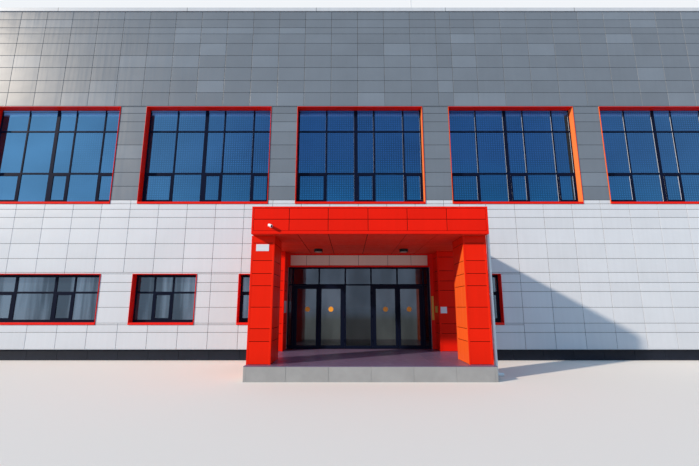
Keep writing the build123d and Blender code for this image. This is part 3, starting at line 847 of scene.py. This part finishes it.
def fit_window(metal, glass, window, bottom, top, rails, frame_front, head_glass):
    """Panes, glazing gaskets and opening sashes of one window."""
    for column, row, (left, right, low, high) in pane_cells(window, bottom, top, rails):
        if row == 0 and column in window[3]:
            ring(metal, left + sash_play, right - sash_play, low + sash_play, high - sash_play,
                 sash_width + sash_play, frame_front - sash_proud, sash_depth)
            left += sash_width
            right -= sash_width
            low += sash_width
            high -= sash_width
        ring(metal, left, right, low, high, bead_width, frame_front + bead_setback, bead_depth, material=1)
        tone = any_tone()
        block(glass, left, right, frame_front + pane_front, frame_front + pane_back, low, high, tone)
        if head_glass and row == len(rails):
            block(glass, left, right, frame_front - head_glass_proud, frame_front - head_glass_back, high,
                  high + head_glass, tone)


def fit_side(name, angle, windows, bottom, top, rails, reveal, head_glass, frame_paint, glass_material,
             glass_node):
    """All windows of one storey on one side; head_glass is how far the top panes lie over the head bar."""
    metal, glass = new_mesh(), new_mesh()
    for window in windows:
        fit_window(metal, glass, window, bottom, top, rails, -half_depth + reveal, head_glass)
    new_piece(f"{name}_window_gaskets", turned(metal, angle), [frame_paint, gasket_rubber], "building",
              slot="black_frames")
    new_piece(f"{name}_window_panes", turned(glass, angle), [glass_material], "building", glass_node,
              slot="window_glass")


for side, angle, low_windows in (("front", 0, front_windows), ("back", math.pi, back_windows)):
    fit_side(f"{side}_upper", angle, upper_windows, window_bottom, window_top, upper_rails, upper_reveal,
             head_glass_height, black_paint_painted_sunlit_side, hall_glass, "upper_window_glass")
    fit_side(f"{side}_lower", angle, low_windows, low_window_bottom, low_window_top, lower_rails,
             lower_reveal, 0, black_paint, room_glass, "lower_window_glass")
softened("upper_window_frames", "upper_frame_bars", black_paint_painted_sunlit_side, bar_rounding, "black_frames")
softened("lower_window_frames", "lower_frame_bars", black_paint, bar_rounding, "black_frames")
softened("upper_window_linings", "upper_red_linings", red_trim_painted_sunlit_side, bar_rounding, "red_cladding")
softened("lower_window_linings", "lower_red_linings", red_trim, bar_rounding, "red_cladding")
softened("entrance_lining", "entrance_red_lining", red_trim, bar_rounding, "red_cladding")


# Portico
def clad_post(mesh, x0, x1, y0, y1, z0, z1):
    """Pillar of panels wrapped round a core, with folded trims on its corners."""
    block(mesh, x0 + red_core, x1 - red_core, y0 + red_core, y1 - red_core, z0, z1, material=1)
    rows = []
    for low, high in spans_between(z0, z1, post_rows):
        rows += block(mesh, x0 + red_recess, x1 - red_recess, y0 + red_recess, y1 - red_recess,
                      low + red_joint / 2, high - red_joint / 2, any_tone())
    soften(mesh, edges_of(rows), sheet_rounding, 2)
    for left in (x0, x1 - corner_trim):
        for near in (y0, y1 - corner_trim):
            rounded_block(mesh, left, left + corner_trim, near, near + corner_trim, z0, z1)


def framed_panels(mesh, x0, x1, columns, face_y):
    """Two rows of fascia panels between the trims of the canopy edge, looking along -Y."""
    low, high = canopy_bottom + fascia_bottom_trim, canopy_top - fascia_top_trim
    cells = grid_cells(x0 + corner_trim, x1 - corner_trim, low, high, columns, [fascia_row])
    cassettes(mesh, cells, face_y + red_core, red_sheet, red_joint, any_tone)
    block(mesh, x0 + red_core, x1 - red_core, face_y + red_core, face_y + fascia_thickness, low, high,
          material=1)
    for left in (x0, x1 - corner_trim):
        rounded_block(mesh, left, left + corner_trim, face_y, face_y + fascia_thickness, low, high)
    rounded_block(mesh, x0, x1, face_y, face_y + fascia_thickness, canopy_bottom, low)
    rounded_block(mesh, x0, x1, face_y, face_y + fascia_thickness, high, canopy_top)


def fascia_side(mesh, angle, x0, x1, columns, face_y):
    """One side of the canopy edge, turned into its place and added to a mesh."""
    side = new_mesh()
    framed_panels(side, x0, x1, columns, face_y)
    data = bpy.data.meshes.new("canopy_edge_side")
    turned(side, angle).to_mesh(data)
    side.free()
    mesh.from_mesh(data)
    bpy.data.meshes.remove(data)


pillars = new_mesh()
for left in (portico_left, portico_right - pillar_width):
    clad_post(pillars, left, left + pillar_width, pillar_front, pillar_back, floor_level, canopy_bottom)
new_piece("red_pillar_panels", pillars, [red_paint_painted_sunlit_side, red_gap_shade], "building", "portico_pillars",
          slot="red_cladding")

pilasters = new_mesh()
for left, right in ((portico_left, left_pilaster_right), (right_pilaster_left, portico_right)):
    clad_post(pilasters, left, right, pilaster_front, -half_depth, floor_level, canopy_bottom)
new_piece("red_pilaster_panels", pilasters, [red_paint, red_gap_shade], "building", "portico_pilasters",
          slot="red_cladding")

canopy_edge = new_mesh()
framed_panels(canopy_edge, fascia_left, portico_right, fascia_columns, portico_front)
side_start = -portico_front - fascia_thickness
side_columns = [side_start - first_side_panel - panel_width * k for k in range(4)]
fascia_side(canopy_edge, -math.pi / 2, half_depth, side_start, sorted(side_columns), fascia_left)
fascia_side(canopy_edge, math.pi / 2, -side_start, -half_depth, [-line for line in side_columns],
            -portico_right)
new_piece("red_fascia_panels", canopy_edge, [red_paint, red_gap_shade], "building", "portico_fascia",
          slot="red_cladding")

soffit_low, soffit_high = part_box("portico_soffit")
soffit = new_mesh()
block(soffit, soffit_low.x, soffit_high.x, soffit_low.y, soffit_high.y, soffit_low.z + red_core,
      soffit_high.z, material=1)
soffit_rows = lines_along(soffit_high.y, soffit_low.y, -soffit_pitch)
undersides = []
for left, right in spans_between(soffit_low.x, soffit_high.x, soffit_columns):
    for near, far in spans_between(soffit_low.y, soffit_high.y, sorted(soffit_rows)):
        faces = block(soffit, left + soffit_joint / 2, right - soffit_joint / 2, near + soffit_joint / 2,
                      far - soffit_joint / 2, soffit_low.z, soffit_low.z + red_core, any_tone())
        undersides.append(min(faces, key=lambda face: face.calc_center_median().z))
soften(soffit, edges_of(undersides), sheet_rounding, 2)
new_piece("red_soffit_panels", soffit, [soffit_paint, red_gap_shade], "building", "portico_soffit",
          slot="red_cladding")

# Wall over and beside the entrance glazing
strip = new_mesh()
cassettes(strip, grid_cells(strip_columns[0], strip_columns[-1], *strip_rows, strip_columns, []),
          -half_depth, panel_depth, wall_joint, any_tone)
new_piece("white_strip_over_doors", strip, [strip_paint], "building", slot="white_cladding")

surround = new_mesh()
for x0, x1, z0, z1 in ((glazing_left, strip_columns[0], entrance_head, canopy_bottom),
                       (strip_columns[-1], right_pilaster_left, entrance_head, canopy_bottom),
                       (strip_columns[0], strip_columns[-1], strip_rows[1], canopy_bottom),
                       (glazing_right, right_pilaster_left, floor_level, entrance_head)):
    rounded_block(surround, x0, x1, -half_depth - panel_depth, -half_depth, z0, z1)
new_piece("red_entrance_surround", surround, [red_trim], "building", slot="red_cladding")

# Porch platform
platform_low, platform_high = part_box("porch_platform")
platform = new_mesh()
block(platform, platform_low.x + platform_inset, platform_high.x - platform_inset,
      platform_low.y + platform_inset, platform_high.y, 0.0, floor_level - core_drop, material=1)
kerb_top = floor_level - kerb_drop
for kerb_left in (platform_low.x, platform_high.x - kerb_width):
    for near, far in spans_between(platform_low.y, platform_high.y,
                                   lines_along(platform_low.y, platform_high.y, kerb_length)):
        rounded_block(platform, kerb_left, kerb_left + kerb_width, near + kerb_gap, far - kerb_gap, 0.0,
                      kerb_top, bar_rounding, material=1)
for left, right in spans_between(platform_low.x + kerb_width, platform_high.x - kerb_width,
                                 lines_along(platform_low.x, platform_high.x, kerb_length)):
    rounded_block(platform, left + kerb_gap, right - kerb_gap, platform_low.y, platform_low.y + kerb_width,
                  0.0, kerb_top, bar_rounding, material=1)
tiles = []
for left, right in spans_between(platform_low.x, platform_high.x,
                                 lines_along(platform_low.x, platform_high.x, tile_pitch)):
    for near, far in spans_between(platform_low.y, platform_high.y,
                                   lines_along(platform_low.y, platform_high.y, tile_pitch)):
        faces = block(platform, left + tile_gap, right - tile_gap, near + tile_gap, far - tile_gap,
                      floor_level - tile_thickness, floor_level, any_tone())
        tiles.append(max(faces, key=lambda face: face.calc_center_median().z))
soften(platform, edges_of(tiles), tile_rounding, 2)
new_piece("tiled_porch_platform", platform, [porch_tile, kerb_stone], "building", "porch_platform",
          slot="porch_tiles")

# Entrance glazing and doors
softened("entrance_posts", "entrance_post_bars", black_paint, sheet_rounding, "black_frames")
softened("entrance_rails", "entrance_rail_bars", black_paint, sheet_rounding, "black_frames")
finish_node("entrance_glass", screen_glass)
finish_node("frame_hinges", black_paint)
for number, disc_x in enumerate(disc_places, start=1):
    body = f"door_{number}"
    softened(f"{body}_leaf", f"{body}_leaf_bars", black_paint, sheet_rounding, "black_frames", body)
    finish_node(f"{body}_glass", door_glass)
    finish_node(f"{body}_hinges", black_paint)
    finish_node(f"{body}_handles", black_paint)
    glass_low, glass_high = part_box(f"{body}_glass")
    leaf_low, leaf_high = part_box(f"{body}_leaf")
    gaskets = new_mesh()
    for y_front, depth in ((leaf_low.y + gasket_step, glass_low.y - leaf_low.y - gasket_step),
                           (glass_high.y, leaf_high.y - glass_high.y - gasket_step)):
        ring(gaskets, glass_low.x, glass_high.x, glass_low.z, glass_high.z, bead_width, y_front, depth)
    new_piece(f"{body}_gaskets", gaskets, [gasket_rubber], body, slot="black_frames")
    film = new_mesh()
    disc(film, (disc_x, glass_low.y - disc_thickness / 2, disc_height), (0, -1, 0), disc_radius,
         disc_thickness, 48)
    new_piece(f"{body}_round_film", film, [orange_film], body, slot="white_fittings")


# Plain sign plates, their heights above the floor
def plate(name, material, x0, x1, y0, y1, z0, z1):
    mesh = new_mesh()
    rounded_block(mesh, x0, x1, y0, y1, floor_level + z0, floor_level + z1, plate_rounding)
    new_piece(name, mesh, [material], "building", slot="white_fittings")


for name, material, x0, x1, y1, z0, z1 in (
        ("pillar_sign_plate", white_plate, -3.294, -2.904, pillar_front + red_recess, 3.305, 3.515),
        ("pilaster_sign_plate", white_plate, 3.016, 3.256, pilaster_front, 1.40, 1.64),
        ("tall_door_side_plate", yellow_plate, 2.845, 2.935, -half_depth - panel_depth, 1.12, 2.06)):
    plate(name, material, x0, x1, y1 - plate_thickness, y1, z0, z1)
plate("right_reveal_plate", yellow_plate, right_pilaster_left - reveal_plate_front,
      right_pilaster_left + reveal_plate_back, -9.56, -9.14, 1.42, 1.67)
plate("left_reveal_plate", white_plate, left_pilaster_right - reveal_plate_back,
      left_pilaster_right + reveal_plate_front, -9.72, -9.18, 1.41, 1.87)

# Small fittings
for name, material in (("security_camera", white_plastic), ("downpipe", pipe_paint),
                       ("roof_mast", white_plastic), ("soffit_lights", lamp_metal)):
    finish_node(name, material)

lights_low, lights_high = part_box("soffit_lights")
light_radius = (lights_high.y - lights_low.y) / 2
light_y = (lights_low.y + lights_high.y) / 2
covers = new_mesh()
for light_x in (lights_low.x + light_radius, lights_high.x - light_radius):
    disc(covers, (light_x, light_y, lights_low.z + cover_lift), (0, 0, -1), light_radius - cover_margin,
         cover_thickness, 40)
new_piece("opal_light_covers", covers, [lamp_diffuser], "building", slot="lamp_glass")

lens = new_mesh()
disc(lens, camera_middle + camera_aim * lens_rim_place, camera_aim, lens_rim_radius, lens_rim_thickness)
disc(lens, camera_middle + camera_aim * lens_place, camera_aim, lens_radius, lens_thickness, 24)
new_piece("camera_lens", lens, [lens_glass], "building", slot="lamp_glass")

pipe_x = portico_right + pipe_from_pillar
pipe_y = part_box("downpipe")[1].y - pipe_radius
clips = new_mesh()
for heights, reach, length in ((clip_heights, clip_reach, clip_height),
                               (socket_heights, socket_reach, socket_height)):
    for height in heights:
        disc(clips, (pipe_x, pipe_y, floor_level + height), (0, 0, 1), pipe_radius + reach, length)
new_piece("pipe_clips_and_sockets", clips, [pipe_paint], "building", slot="white_fittings")

# Roof, floors and plinth core
for name, material in (("plinth", plinth_stone), ("ground_floor", screed), ("upper_floor", screed),
                       ("roof_slab", felt), ("canopy_deck", felt)):
    finish_node(name, material)
softened("roof_coping", "folded_roof_coping", coping_paint, bar_rounding, "white_coping")

# Floor, lights and camera
floor_reach = 400
floor_colour = (0.46, 0.45, 0.44)
floor_seen = (0.84, 0.78, 0.72)
sky_colour = (0.46, 0.86, 1.32)
sky_seen = (0.93, 0.96, 1.0)
sky_strength = 0.5
sky_seen_gain = 0.45


def seen_rays(tree):
    """1 for rays that show the stage itself: straight, mirrored or through glass."""
    rays = tree.nodes.new("ShaderNodeLightPath").outputs
    mirrored = maths(tree, "MAXIMUM", rays["Is Glossy Ray"], rays["Is Transmission Ray"])
    return maths(tree, "MAXIMUM", rays["Is Camera Ray"], mirrored)


floor_mesh = bmesh.new()
bmesh.ops.create_grid(floor_mesh, x_segments=1, y_segments=1, size=floor_reach)
floor_data = bpy.data.meshes.new("studio_floor")
floor_mesh.to_mesh(floor_data)
floor_mesh.free()
floor_material, floor_tree, floor_shader = node_material("studio_floor_paint")
link(floor_tree, blend_colours(floor_tree, seen_rays(floor_tree), floor_colour, floor_seen),
     floor_shader.inputs["Base Color"])
floor_shader.inputs["Roughness"].default_value = 0.9
floor_data.materials.append(floor_material)
studio_floor = bpy.data.objects.new("studio_floor", floor_data)
bpy.context.scene.collection.objects.link(studio_floor)

world = bpy.data.worlds.new("studio_air")
bpy.context.scene.world = world
world.use_nodes = True
air = world.node_tree
air.nodes.clear()
seen = seen_rays(air)
background = air.nodes.new("ShaderNodeBackground")
link(air, blend_colours(air, seen, sky_colour, sky_seen), background.inputs["Color"])
link(air, maths(air, "MULTIPLY_ADD", seen, sky_seen_gain, sky_strength), background.inputs["Strength"])
surface = air.nodes.new("ShaderNodeOutputWorld")
link(air, background.outputs[0], surface.inputs[0])

sun_data = bpy.data.lights.new("key_light", "SUN")
sun_data.energy = 4.05
sun_data.angle = math.radians(2)
sun_data.color = (1.0, 0.865, 0.71)
sun = bpy.data.objects.new("key_light", sun_data)
sun.rotation_mode = "QUATERNION"
sun.rotation_quaternion = light_direction.to_track_quat("-Z", "Y")
bpy.context.scene.collection.objects.link(sun)

camera_data = bpy.data.cameras.new("front_camera")
camera_data.lens = 20.14
camera_data.sensor_width = 36
camera = bpy.data.objects.new("front_camera", camera_data)
camera.location = (-0.454, -25.0, 2.07)
camera.rotation_euler = (math.radians(100.69), 0, 0)
bpy.context.scene.collection.objects.link(camera)
bpy.context.scene.camera = camera
bpy.context.scene.view_settings.view_transform = "Standard"
